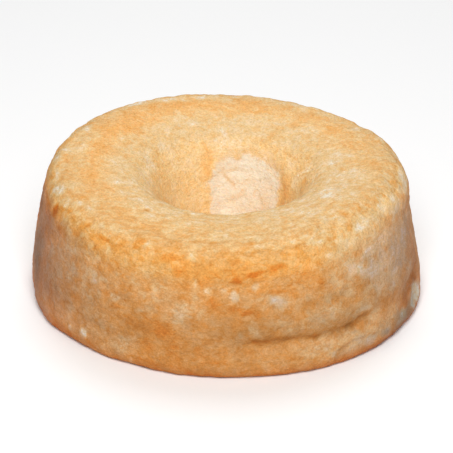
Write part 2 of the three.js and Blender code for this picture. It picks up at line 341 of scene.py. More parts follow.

# Marks on the crust: (azimuth, reach, half width, half height, tone added, light added, tilt in degrees).
# A light or tilt of 0 is left off the end. Each group runs round the cake, from the far side over the left.
# Some marks paint light and shade: dimming and greying at the wall's left and right edges, and shadow along
# the fold low on the front wall.
crustMarksAndPaintedShade = [
    # the browned rim at the table
    (-138, 3, 20, 2.4, 0.12, -0.03), (-112, 8, 14, 2.4, 0.24), (-96, 3, 34, 2.4, 0.16, 0.02),
    (-40, 4, 26, 3, 0.1, -0.16), (-32, 6, 14, 5, 0.06, -0.08),
    # foot: crust that stayed in the tin or rubbed off
    (-125, 5.5, 6, 2, -0.05, 0.06), (-118, 6.4, 1.2, 1.8, -0.4, 0.06), (-79, 6.5, 7, 1.8, -0.06, 0.06),
    (-77, 6.6, 4, 2, -0.12, 0.06), (-64, 8.6, 3, 1.8, -0.2, 0.03), (-57, 9, 6, 3, -0.2, -0.04),
    (-54, 7.5, 5, 2.5, -0.2, -0.02), (-54, 9, 4, 2.4, -0.12, -0.01), (-45.5, 8.8, 5, 2.8, -0.44, -0.12),
    (-42.8, 9.7, 3, 2.4, -0.14, -0.03), (-39.5, 9, 4, 2.4, -0.3, -0.16), (-33.5, 7.2, 4, 2.4, -0.14),
    (-33, 7.2, 5, 2.5, -0.26, 0.02), (-29, 8.6, 6.2, 4.2, -0.54, -0.04), (-24, 8, 8, 5, -0.2, -0.08),
    (-20.5, 9, 3.4, 4, -0.5, 0.04),
    # wall: broad clouds; the dim, grey ones near azimuths -180 to -155 and -30 to -5 are partly painted shade
    # and sheen at the wall's edges seen from the camera
    (178, 40, 7, 24, -0.08, -0.12), (-172, 30, 6, 12, -0.04, -0.08), (-172, 50, 7, 14, -0.16, -0.09),
    (-166, 34, 10, 40, -0.1, -0.16), (-158, 32, 22, 36, -0.04, -0.12), (-156, 10, 12, 6, -0.07),
    (-150, 20, 14, 14, 0.04, -0.01), (-150, 31, 8, 7, -0.11, 0.02), (-150, 46, 5, 10, 0, 0.01),
    (-148, 34, 16, 26, -0.04), (-146, 48, 14, 18, 0, -0.07), (-144, 51, 10, 11, -0.16, 0, -40),
    (-140, 42, 9, 8, -0.08), (-139, 52, 9, 11, -0.03, -0.05), (-138, 37, 12, 9, 0, -0.04),
    (-135, 53, 12, 8, -0.12, -0.02), (-132, 18, 14, 10, 0, -0.05), (-118, 28, 9, 6, 0.24, -0.02),
    (-117, 18, 14, 10, 0, -0.03), (-114, 52, 12, 8, -0.1, 0.01), (-110, 22, 9, 8, 0.02, 0.04),
    (-109, 28, 9, 6, 0.1, 0.01), (-105, 39, 7, 7, -0.2, 0.01, 30), (-100, 13, 16, 8, 0.1, -0.02),
    (-100, 22, 18, 14, 0.14), (-90, 30, 14, 7, 0.06), (-86, 18, 12, 7, 0.08, -0.02),
    (-84, 42, 14, 8, 0.08, -0.02), (-65, 53, 5, 13, 0.26, 0.01, 26), (-62, 16, 11, 5, -0.2, 0.02),
    (-61, 31, 11, 4.5, -0.18, 0.02), (-58, 38, 12, 24, -0.05), (-45, 45, 20, 22, -0.09),
    (-45, 47, 6, 9, -0.12), (-42, 46, 10, 9, 0, -0.06), (-40, 10, 24, 5, -0.07),
    (-38, 48, 16, 11, -0.18, -0.02), (-36, 10.5, 12, 4.5, -0.14, -0.05), (-36, 34, 14, 6, -0.16),
    (-35, 44, 22, 12, -0.06), (-34, 26, 15, 4, 0.2, -0.04), (-34, 36, 24, 26, -0.05), (-31, 30, 9, 6, -0.14),
    (-28, 10, 20, 6, -0.04, -0.12), (-26, 42, 16, 20, -0.1, -0.05), (-24, 46, 12, 13, -0.1, -0.03),
    (-22, 10, 10, 5, -0.1, -0.06), (-20, 44, 10, 34, -0.12, -0.03), (-13, 28, 7, 9, 0.14, -0.08),
    (-8, 47, 6, 9, -0.12, -0.06),
    # wall: browner patches, spots and lines; along the fold, from azimuth -82 to -47 at reach 20 to 24, the
    # light they take away is partly painted shadow of the fold
    (-152, 23, 4, 7, 0.12, -0.02), (-141, 46.5, 5, 5, 0.08), (-130, 53, 3, 5, 0.16), (-128, 39, 2.6, 3, 0.22),
    (-127, 42, 7, 4.5, 0.2), (-123, 35.5, 4, 1.6, 0.28), (-118, 29, 6.5, 2.6, 0.2, 0, -25),
    (-118, 41, 12, 3, 0.14), (-115, 16, 6, 5, 0.18), (-113, 19, 3, 5, 0.1), (-113, 20, 3, 9, 0.12, 0, 10),
    (-112, 15, 4, 10, 0.18), (-112, 33, 9, 3, 0.14), (-111, 28, 9, 3.5, 0.25),
    (-108.5, 25.5, 5, 3, 0.14, 0.02), (-107, 27, 6, 6, 0.3, 0.02), (-104, 18, 5, 5, 0.12, 0.01),
    (-97, 46, 4, 4, 0.12, 0.01), (-94.5, 46.5, 3, 2.4, 0.32, 0.01), (-93, 43, 5, 6, 0.26),
    (-88, 41.5, 4, 1.8, 0.5, 0, -14), (-86, 18, 4, 4, 0.1), (-84.5, 39.4, 3.6, 1.5, 0.64, -0.03, 20),
    (-84, 40, 6, 2.4, 0.16), (-82, 23.6, 3, 1.6, 0.24, -0.03), (-81.6, 42, 3, 2.2, 0.2),
    (-81, 22, 9, 5, 0.08), (-79.5, 23, 2, 1.6, 0.2, -0.03), (-78, 27, 5, 8, 0.12), (-78, 39, 3, 4, 0.14),
    (-78, 43, 3, 3, 0.16), (-76, 47.5, 4, 2, 0.2), (-75, 47.8, 5, 1.2, 0.32, -0.01), (-74, 26, 2.6, 6, 0.16),
    (-71.8, 23.3, 5, 1.2, 0.24, -0.04), (-71, 46, 2.4, 6, 0.26, 0, 10), (-68, 51, 4, 3, 0.1, -0.02),
    (-66, 38, 6, 3, 0.12, -0.02), (-65, 50, 3, 3, 0.1), (-64, 20.8, 3.4, 1.4, 0.22, -0.04),
    (-64, 22.5, 3, 1.5, 0.18, -0.03), (-62, 20.6, 7, 2, 0.04, -0.06), (-62, 38, 4, 3, 0.08, -0.02),
    (-62, 47, 3, 5, 0.18, -0.02), (-58.8, 23.3, 3, 1.4, 0.3, -0.05), (-56, 37, 5, 3, 0.12, -0.02),
    (-54, 40, 3, 3, 0.08, -0.07), (-53.8, 20.4, 3.6, 1.6, 0.24, -0.03), (-51.5, 20, 5.5, 2, 0.16, -0.12),
    (-48.5, 22.6, 3, 1.2, 0.3, -0.05, 24), (-47, 38, 7, 2.6, 0.12, -0.03, -12),
    (-46.8, 23, 2.6, 2, 0.22, -0.05, 20), (-44, 32, 4, 4, 0.12), (-43.5, 47.5, 2.6, 3, 0.34),
    (-39, 47, 2.4, 3, 0.1, -0.04), (-32, 46, 4, 4, 0.1, -0.05), (-26, 16, 4, 5, 0.2, -0.08, 30),
    (-23, 18.5, 12, 3.4, 0.3, -0.08, 12), (-16, 19.5, 5, 3, 0.24, -0.1),
    # wall: paler patches, and scraps whose outermost skin stayed in the tin
    (-153, 45, 4, 6, -0.2, 0.02), (-141, 20, 4, 4, -0.05, 0.04), (-141, 44, 1.8, 5, -0.16, -0.01),
    (-140.6, 10.6, 1.4, 2.2, -0.48, 0.07), (-134.7, 11.8, 2.6, 3, -0.56, 0.08, -24), (-134, 14, 3, 3, -0.15),
    (-132, 18, 8, 5, -0.12, 0.02), (-131, 44, 6, 5, -0.1), (-130, 44.6, 6, 1.6, -0.2, 0, 24),
    (-124, 39.5, 3.4, 2.4, -0.4, -0.01), (-121, 13, 7, 5, -0.18, 0.01), (-118, 18, 5, 3, -0.1, 0.02),
    (-118, 48, 4, 3, -0.12), (-111, 47, 6, 5, -0.12, 0.01, 30), (-109.5, 39, 5, 4, -0.12, 0.03),
    (-99, 13, 6, 4, -0.06, 0.05), (-95.6, 51.4, 1.6, 2.2, -0.42, 0.02), (-93, 17, 4, 4, -0.1, 0.01),
    (-91.2, 51.4, 1.1, 1.8, -0.32), (-88.4, 47.6, 2.6, 4.2, -0.5, 0.01), (-86.5, 27, 3, 2, -0.22),
    (-82.2, 51.6, 2.2, 2.8, -0.34, 0, 20), (-81, 41, 2.4, 2.4, -0.12), (-77, 44, 3, 1.6, -0.12, -0.01),
    (-75.8, 42.6, 6.4, 3.8, -0.42, 0, -38), (-69.5, 18.6, 4, 1.6, -0.08, 0.03),
    (-66.5, 12.6, 3, 1.6, -0.1, 0.04), (-62, 13.6, 3, 1.1, -0.18, 0.05), (-62, 29, 7, 4, -0.13, -0.01),
    (-60, 10, 3, 2, -0.26, -0.03), (-60, 39, 4, 3, -0.04, -0.06), (-59, 16, 4, 1.5, -0.14, 0.05),
    (-55, 14.6, 3.6, 1.8, -0.1, 0.04), (-52, 18.6, 6, 3, -0.24), (-50, 11.5, 6, 4, -0.24, -0.03),
    (-49, 47, 5.4, 3.4, -0.24, 0.03), (-47, 27, 6, 3.4, -0.14, 0.01), (-46, 46, 5, 3, -0.12, 0.07),
    (-43, 20, 6, 3, -0.15), (-40, 15.5, 12, 4, -0.09), (-40, 42, 6, 4, -0.1), (-37, 19, 5, 3, -0.12),
    (-31, 27, 5, 3, -0.12), (-18, 16, 4, 3, -0.2), (-16, 11.4, 6.6, 6.4, -0.8, 0.02),
    (-14, 47, 5, 9, -0.1, -0.12), (-11, 50, 4, 4, -0.16, 0.04),
    # wall: patches that are only dimmer or brighter
    (-142, 23, 5, 4, 0, -0.06), (-141, 27, 4, 4, 0, -0.05), (-131, 18.5, 4, 3, 0, 0.08),
    (-108, 38, 5, 5, 0, 0.05, -40), (-55, 50, 6, 4, 0, 0.04), (-50, 51, 5, 4, 0, -0.04),
    (-42, 13, 6, 4, 0, -0.06), (-32, 40, 8, 6, 0, 0.05), (-29, 37, 4, 3, 0, -0.05), (-28, 45, 6, 4, 0, -0.05),
    (-19, 17, 8, 4, 0, -0.08),
    # shoulder: broad clouds; the dim ones near azimuths -175 to -155 and the pale, bright one at -22 are
    # partly painted shade and sheen at the edges seen from the camera
    (-175, 54, 7, 9, 0, -0.1), (-162, 70, 9, 6, -0.22), (-157, 57, 10, 7, 0.02, -0.11),
    (-144, 60, 22, 4.6, 0, -0.07), (-134, 68, 24, 3, 0.12, 0.02), (-104, 63, 18, 4.5, 0.28, 0.02, -34),
    (-100, 75, 20, 4, 0.1), (-91, 61, 14, 9, 0.16), (-70, 55, 14, 9, 0, 0.04), (-68, 56, 12, 8, 0, 0.03),
    (-55, 74, 16, 4, -0.08, -0.02), (-52, 56, 8, 10, -0.12), (-50, 61, 18, 7, -0.18, 0.03),
    (-44, 61, 16, 4.5, -0.12), (-33, 69, 14, 6, -0.14), (-31, 60, 13, 7, -0.12, 0.02),
    (-22, 64, 18, 6, -0.28, 0.08),
    # shoulder: browner patches and creases
    (154, 75, 5, 3, 0.06, -0.05), (-174.5, 54, 6, 8, 0.06, -0.12), (-172.5, 70, 3, 2, 0.5, -0.02),
    (-167, 62, 8, 1.4, 0.5, -0.06), (-162, 59, 8, 4, 0.14, -0.05), (-158, 62, 3, 3.4, 0.3, -0.03, 30),
    (-157.5, 64.5, 2.4, 2.4, 0.24, -0.02), (-156.8, 63.6, 3, 4.4, 0.8, -0.05, 24),
    (-153.5, 67, 4, 1.8, 0.5, -0.02, 10), (-150, 58, 6, 2.6, 0.26, -0.02),
    (-150, 68.3, 1.8, 3.4, 0.3, -0.01, -15), (-146.5, 67.4, 2.2, 2.6, 0.3, 0, 30),
    (-141.2, 65, 1.8, 4, 0.32, -0.03, -15), (-140, 60, 8, 3, 0.1, 0, 20), (-139.4, 70, 2.6, 1.5, 0.38, 0, 20),
    (-138.8, 69, 1.6, 2.4, 0.16, -0.08), (-132.5, 63, 1.4, 4, 0.28), (-130.5, 67.8, 5, 1.6, 0.4, 0, -14),
    (-126, 66, 3, 3, 0.04, -0.1), (-124, 69, 2.6, 2.6, 0.2, 0.01), (-119, 58, 2.4, 7, 0.2, -0.01),
    (-119, 71, 3, 2.6, 0.4, 0.01, 20), (-118.5, 71, 2, 4, 0.22), (-116, 68.6, 4, 1.8, 0.18),
    (-115.5, 63, 3.4, 3, 0.12, -0.02), (-111, 65, 5, 4, 0.16), (-108, 67, 3, 3, 0.24, 0.01),
    (-105, 60, 2.8, 3, 0.28), (-98, 62.7, 4, 3, 0.18, -0.04), (-97, 54, 5, 5, 0.14), (-97, 60, 5, 3.4, 0.12),
    (-87.8, 56, 3.2, 2.2, 0.8, -0.04), (-87, 67, 8, 2, 0.15), (-86, 62, 8, 6, 0.18, 0.01),
    (-84, 56, 6, 4, 0.16, -0.01), (-83, 56.5, 3.4, 3, 0.16, -0.03), (-82, 59, 5.5, 1.3, 0.66, -0.03, 14),
    (-81.5, 57, 4, 3, 0.18), (-80, 57.5, 4, 4, 0.14, -0.03), (-77, 54, 6, 6, 0.14, 0.03),
    (-75.6, 60.6, 6, 1.6, 0.34), (-73, 56.5, 5, 3, 0.1, -0.03), (-70.5, 57, 3, 3, 0.18, -0.01),
    (-66, 69.8, 5, 1.8, 0.12, -0.01), (-56, 62, 3, 3, 0.1, 0.01), (-52, 55.5, 3, 3, 0.18),
    (-28, 59, 4, 3, 0.14, -0.02), (-21.5, 57.5, 4, 3, 0.16, -0.03), (-15, 76.5, 4, 3, 0.14, -0.01),
    # shoulder: paler patches and scraps
    (128, 76, 5, 2.4, -0.26, 0.01), (176, 71, 6, 3, -0.2, -0.03), (178, 73, 5, 3, -0.14),
    (178, 75, 3, 2, -0.14, 0.02), (-178, 62, 4, 5, -0.12, -0.05), (-177, 67, 4, 3, -0.14, -0.04),
    (-176, 67, 3, 3, -0.14, -0.01), (-171.5, 71.5, 5, 2.6, -0.14), (-170, 75, 4, 3, -0.14),
    (-166, 71, 11, 3.4, -0.17, 0.02), (-160, 68.6, 3, 3, -0.08), (-155, 69, 4, 4, -0.16),
    (-151, 66, 6, 3.6, -0.12, 0.01), (-149, 76.5, 9, 2, -0.14, 0.01), (-143.4, 67.5, 1.2, 3, -0.18, 0.02),
    (-136, 59, 7, 4, -0.15, -0.02), (-133, 67, 4, 2.4, -0.12), (-128, 64, 3.4, 3.4, -0.24, -0.01),
    (-126, 55, 4, 4, -0.1, 0.01), (-125, 69.2, 2.4, 2, -0.18, 0.04), (-120, 70.3, 2.4, 2, -0.2, 0.05),
    (-115, 71, 2.6, 2.6, -0.14), (-107, 68.5, 8, 2, -0.16), (-101.5, 70, 3, 2.4, -0.24),
    (-99.4, 55.4, 1.6, 3, -0.4, 0, 8), (-98, 58, 1.4, 1.6, -0.26), (-84, 56, 1.3, 2.2, -0.38, 0, 10),
    (-80, 71.4, 5, 0.9, -0.26, 0.01, -4), (-76.5, 62.7, 2.4, 2.2, -0.18, 0.04),
    (-68, 71, 4, 1.1, -0.24, 0.02), (-66, 58, 3, 3, -0.15), (-62, 63, 4, 3, -0.12),
    (-62, 68, 8, 2.4, -0.2, 0.02), (-61, 66, 4, 2.6, -0.26, 0, -10), (-58, 59, 3.4, 1.6, -0.26),
    (-44, 65, 5.5, 2.2, -0.15, -0.02, -25), (-42, 54, 5, 3, -0.08, 0.08, -40), (-42, 66, 9, 3.4, -0.2),
    (-36.8, 72, 3.4, 2.4, -0.18, 0.04), (-29, 66.5, 3, 3, -0.14, 0.02), (-21, 66, 3, 3, -0.16, 0.02),
    (-12.5, 65, 4, 3, -0.25, 0.02), (-11, 57, 4, 4, -0.12, -0.02), (-9, 62, 4, 3, -0.26, 0.02),
    (-8, 67, 4, 3, -0.18, 0.02), (-7, 61, 5, 4, -0.3, 0.02), (-5, 67, 6, 3, -0.2, 0.02),
    (-3, 64.5, 8, 4.4, -0.42, 0.04), (0, 68, 5, 2.4, -0.18, 0.01), (12, 67, 8, 4, -0.26, 0.03),
    (21.5, 74, 5, 3, -0.16, 0.02), (21.5, 75, 3, 2.4, -0.16, 0.01),
    # shoulder: dimmer or brighter patches
    (-39, 58, 5, 4, 0, -0.05),
    # top: broad clouds
    (105, 88, 22, 7, 0.15, 0.03), (110, 77, 30, 4, -0.22, 0.02), (135, 90, 26, 8, 0.16, 0.02),
    (165, 91, 26, 7, 0.16, 0.02), (-160, 90, 20, 7, 0.08), (-125, 82, 34, 7, 0.1), (-105, 97, 40, 8, -0.04),
    (-40, 90, 60, 9, 0, -0.03), (-35, 86, 30, 6, -0.08), (-35, 92, 44, 12, -0.14), (-5, 83, 14, 6, 0.02),
    (12, 93, 8, 8, -0.06), (45, 87, 20, 7, 0.04, 0.02), (60, 77, 30, 4, -0.18, 0.02),
    (75, 90, 150, 10, 0, 0.03), (80, 90, 18, 7, 0.14, 0.03),
    # top: browner patches and spots
    (115, 77, 3, 2.4, 0.18), (-151, 79, 6, 3, 0.24), (-137, 87, 6, 4, 0.08),
    (-132, 95.5, 2.4, 2, 0.14, -0.03), (-131, 98.6, 1.4, 1.7, 0.5, -0.14), (-123, 83, 3, 4, 0.14),
    (-115, 79, 8, 2.6, 0.14, -0.01), (-103, 78, 5, 2, 0.14), (-102, 82, 5, 2.6, 0.12, -0.01),
    (-63, 93, 5, 8, 0.12), (61, 78.5, 3, 2.4, 0.18, -0.02),
    # top: paler patches
    (102, 79, 3, 3, -0.3), (111, 103, 4, 3, -0.12), (115, 92, 2, 3, -0.26, 0.01),
    (155, 78, 4, 2.4, -0.2, 0.01), (170, 77, 12, 3, -0.1, 0.02), (170, 84, 9, 4, -0.16, 0.01),
    (-161, 101, 5, 3, -0.08), (-134, 102, 9, 4, -0.08), (-126, 96, 3, 2, -0.1), (-119, 102, 6, 3, -0.06),
    (-91, 84, 2, 3, -0.14), (-66, 83, 2, 3, -0.14), (-33, 98, 7, 6, -0.12, 0.01),
    (-8, 94, 6, 4, -0.07, -0.01), (4, 103, 7, 4, -0.05, -0.01), (30, 99, 2, 1.6, -0.16, 0.01),
    (33, 78, 3, 4, -0.26), (42, 96, 2.6, 2.6, -0.12), (62, 77, 6, 2, -0.24), (78, 90, 2, 3.4, -0.12),
    (87, 77, 4, 2, -0.16, 0.05),
    # mouth and hole: browner patches
    (105, 127, 1.6, 4, 0.1, 0.01), (108, 131, 4, 8, 0.18, 0.02), (120, 120, 14, 4, 0.04, 0.02),
    (150, 116, 5, 4, 0.08, -0.01), (155, 127, 8, 8, 0.1, -0.04), (2, 126, 5, 4, 0.1, -0.08),
    (8, 123.5, 3, 2.4, 0.24), (33, 134, 5, 12, 0.16, 0.02),
    # mouth and hole: paler patches
    (117, 150.5, 2.4, 5, -0.14, 0.05), (138, 142, 22, 15, -0.1, 0.06), (22, 127, 6, 5, -0.1, 0.05),
    (36, 123, 5, 4, -0.1, 0.04), (60, 122, 5, 4, -0.12, 0.04), (80, 120, 26, 3.4, -0.04, 0.02),
    # mouth and hole: dimmer or brighter patches
    (-152, 119, 12, 6, 0, 0.06), (-25, 119, 12, 6, 0, 0.05), (0, 113, 18, 3, 0, 0.04),
]
markShape = {
    "sizes": (3.5, 7),   # mean half sizes up to which a mark is small, and from which it is broad
    "edge": (0.5, 1.2),  # where a small mark's edge begins and ends, as shares of its half size
    "broadEdge": 0.3,    # how much sooner and later a broad one's does
}

# pits where a bubble broke or the crust stayed in the pan: (azimuth, reach, half width, half height, depth)
pits = [
    (-76.8, 43.8, 3.4, 3, 0.6), (-74.7, 41, 3.2, 3, 0.6), (-88.4, 47.6, 2.6, 4.2, 0.8),
    (-99.4, 55, 1.8, 3.2, 0.6), (-95.6, 51, 1.7, 2.4, 0.5), (-82.3, 51, 2.4, 2.6, 0.4),
    (-124, 39.5, 3.4, 2.4, 0.5), (-43, 65, 5, 2.4, 0.5), (-86, 40.5, 6, 1.5, 0.6), (-85, 57.6, 6, 1.6, 0.6),
    (-18.5, 11.6, 4.6, 5, 0.8), (-53, 20.6, 4, 1.6, 0.5), (-131, 98.6, 1.6, 1.8, 0.6),
    (-129, 67, 5, 1.4, 0.4), (-157.5, 63, 3, 4, 0.5),
]
pitEdge = (0.3, 1.2)  # where a pit's side begins and ends, as shares of its half size

# thin lines where the skin folded or tore, some of them painted shade:
# (from azimuth, to azimuth, reach at both ends, half width, tone added, light added, step in mm)
skinLinesAndPaintedShade = [
    # painted shadow: the light taken away by the four lines along the front wall's fold, from azimuth -98 to
    # -44 at reach 20 to 29
    (-94, -62, 70.8, 67.2, 0.8, 0.28, -0.06, 0.6), (-86, -64, 23.6, 22.2, 1.8, 0.22, -0.09, 0),
    (-68, -50, 22.0, 20.4, 1.8, 0.22, -0.10, 0), (-53, -44, 20.8, 23.6, 1.4, 0.18, -0.08, 0),
    (-98, -42, 28.5, 27, 3.4, -0.02, -0.07, 0), (-140, -112, 23, 17, 1.6, 0.08, -0.04, 0.2),
    (-150, -144, 31, 16, 1.6, 0.05, -0.06, 0), (-130, -100, 46, 33, 1.4, 0.08, -0.03, 0.2),
    (22, 6, 126, 115, 0.8, 0.22, -0.10, 0.3), (24, 12, 125.5, 116.5, 0.6, -0.10, 0.05, 0.2),
    (30, 18, 128, 118, 0.7, 0.16, -0.06, 0.3), (12, -4, 125, 116, 0.7, 0.16, -0.06, 0.25),
    (160, 190, 119, 117, 0.8, 0.08, -0.04, 0.2), (165, 185, 124, 122, 0.7, 0.08, -0.04, 0.2),
    # painted shade: the line from azimuth -165 to -20 at reach 115, where the mouth's near lip turns down
    (-165, -20, 115, 115, 2.2, 0.10, -0.10, 0), (96, 84, 135, 142, 0.7, 0.12, -0.08, -0.3),
    (92, 60, 133, 131, 0.6, 0.06, -0.05, -0.2), (80, 50, 139, 134, 0.6, 0.05, -0.05, -0.2),
    (104, 72, 149, 147, 0.6, 0.05, -0.05, -0.2), (70, 56, 137, 149, 0.6, 0.05, -0.05, -0.2),
]
lineShape = {
    "fade": 0.15,         # share of its length over which a line fades at either end
    "rise": (-0.6, 0.6),  # half widths across it over which its step rises
    "fall": (2, 6),       # and over which it is lost again
}

# more marks strewn over the far side: (count, smallest, largest, tone and light added, share that are pits)
strewn = [
    (16, 5.0, 11.0, 0.18, 0.00, 0.0), (14, 5.0, 10.0, -0.16, 0.00, 0.0), (22, 1.6, 4.0, 0.26, -0.04, 0.3),
    (18, 1.4, 3.6, -0.42, -0.03, 0.7),
]
strewing = {
    "seed": 12,
    "azimuths": (2, 193),
    "reaches": (9, 70),
    "sizes": (0.7, 1.2),      # share of the sizes drawn
    "tilts": (-40, 40),
    "strengths": (0.6, 1.3),  # share of the tone, light and depth
    "pitDepth": 0.5,
}


def strewMarks():  # marks and pits at random places of the wall's far side
    dice = np.random.default_rng(strewing["seed"])
    marks, holes = [], []
    for count, smallest, largest, browner, lighter, pitted in strewn:
        azimuths = dice.uniform(*strewing["azimuths"], count)
        reaches = dice.uniform(*strewing["reaches"], count)
        sizes = dice.uniform(smallest, largest, (2, count)) * dice.uniform(*strewing["sizes"], (2, count))
        tilts = dice.uniform(*strewing["tilts"], count)
        strengths = dice.uniform(*strewing["strengths"], count)
        chances = dice.random(count)
        for *spot, tilt, strength, chance in zip(azimuths, reaches, *sizes, tilts, strengths, chances):
            marks.append((*spot, browner * strength, lighter * strength, tilt))
            if chance < pitted:
                holes.append((*spot, strewing["pitDepth"] * strength))
    return marks, holes


def markShade(marks, ring, broad, small):
    # Two sums of soft ellipses, tone and light. The pairs broad and small are how far such marks bend, in mm,
    # first round the cake and then along the outline.
    tone, light = 0, 0
    edgeStart, edgeEnd = markShape["edge"]
    for middle, up, halfWidth, halfHeight, browner, *rest in marks:
        lighter, tilt = (*rest, 0, 0)[:2]
        bend = smoothStep(*markShape["sizes"], math.sqrt(halfWidth * halfHeight))
        bentRound, bentAlong = (bend * broad[n] + (1 - bend) * small[n] for n in (0, 1))
        across = np.radians(turnBetween(middle, ring.azimuth)) * ring.r + bentRound
        rise = ring.reach - up + bentAlong
        c, s = math.cos(math.radians(tilt)), math.sin(math.radians(tilt))
        away = np.hypot((across * c + rise * s) / halfWidth, (rise * c - across * s) / halfHeight)
        wider = markShape["broadEdge"] * bend
        share = 1 - smoothStep(edgeStart - wider, edgeEnd + wider, away)
        tone, light = tone + browner * share, light + lighter * share
    return tone, light


def lineShade(lines, azimuth, reach):  # tone, light and rise of thin lines that fade at both ends
    tone, light, rise = 0, 0, 0
    fade = lineShape["fade"]
    for start, end, reachStart, reachEnd, halfWidth, browner, lighter, step in lines:
        along = turnBetween(start, azimuth) / (end - start)
        share = smoothStep(0, fade, along) * (1 - smoothStep(1 - fade, 1, along))
        away = (reach - reachStart - (reachEnd - reachStart) * along) / halfWidth
        tone, light = tone + browner * share * bell(away), light + lighter * share * bell(away)
        stepped = smoothStep(*lineShape["rise"], away) * (1 - smoothStep(*lineShape["fall"], away))
        rise = rise + step * share * stepped
    return tone, light, rise


def wanderings(ring):
    # how far edges wander round the cake, by noise, and along the outline, by noise and upright tongues
    upright = np.stack([tongues["radius"] * np.cos(ring.turned) + 0 * ring.z,
                        tongues["radius"] * np.sin(ring.turned) + 0 * ring.z,
                        ring.reach / tongues["longer"] + 0 * ring.turned], -1)
    shoulder = bell((ring.reach - tongues["reach"]) / tongues["halfWidth"])
    downwards = shoulder * layeredNoise(upright, *noises["tongues"])
    return layeredNoise(ring.place, *noises["swirl"]), layeredNoise(ring.place, *noises["ripple"]) + downwards


def bareShare(ring):  # 1 in the bare patch, 0 outside: a superellipse of the fourth power with a ragged edge
    turn = np.radians(turnBetween(crumbPatch["azimuth"], ring.azimuth + np.degrees(ring.swirl / ring.r)))
    across = turn * cake["throatRadius"] / crumbPatch["halfWidth"]
    along = (ring.reach + ring.ripple - crumbPatch["reach"]) / crumbPatch["halfHeight"]
    corner = (across ** 4 + along ** 4) ** 0.25 + layeredNoise(ring.place, *noises["patchEdge"])
    return 1 - smoothStep(*crumbPatch["edge"], corner)


def crustRelief(ring, pitted):  # how far the crust stands out: its lumps, edges, folds, bays and pits summed
    swell = sum(size * noise(ring.place, gap, seed) for gap, size, seed in lumps)
    rise = swell * (evenLumps + (1 - evenLumps) * ring.lively)
    rise = rise + sum(size * bell((ring.reach - at) / wide) * noise(ring.place, gap, seed)
                      for at, wide, gap, size, seed in crumbled)
    bends = noise(ring.place, *foldShape["wander"][1:])
    rise = rise + sum(foldRelief(fold, ring, bends) for fold in folds)
    ragged = sum(share * noise(ring.place, gap, seed) for share, gap, seed in tornShape["ragged"])
    rise = rise + sum(tornRelief(bay, ring, ragged) for bay in torn)
    rise = rise + ring.bare * layeredNoise(ring.place, *noises["brokenCrumb"])
    for middle, up, halfWidth, halfHeight, depth in pitted:
        across = np.radians(turnBetween(middle, ring.azimuth)) * ring.r + wanderShare["pits"] * ring.swirl
        away = np.hypot(across / halfWidth, (ring.reach - up) / halfHeight)
        rise = rise - depth * (1 - smoothStep(*pitEdge, away))
    return rise


def raiseCrust(ring, rise):  # moves the points along the outline's normals, less and less near the table
    clear = smoothStep(0, clearOfTable["height"], ring.z)
    sideways = ring.outwards * rise * (clearOfTable["footShare"] + (1 - clearOfTable["footShare"]) * clear)
    ring.place[..., 0] += sideways * np.cos(ring.turned)
    ring.place[..., 1] += sideways * np.sin(ring.turned)
    ring.place[..., 2] += ring.upwards * rise * clear


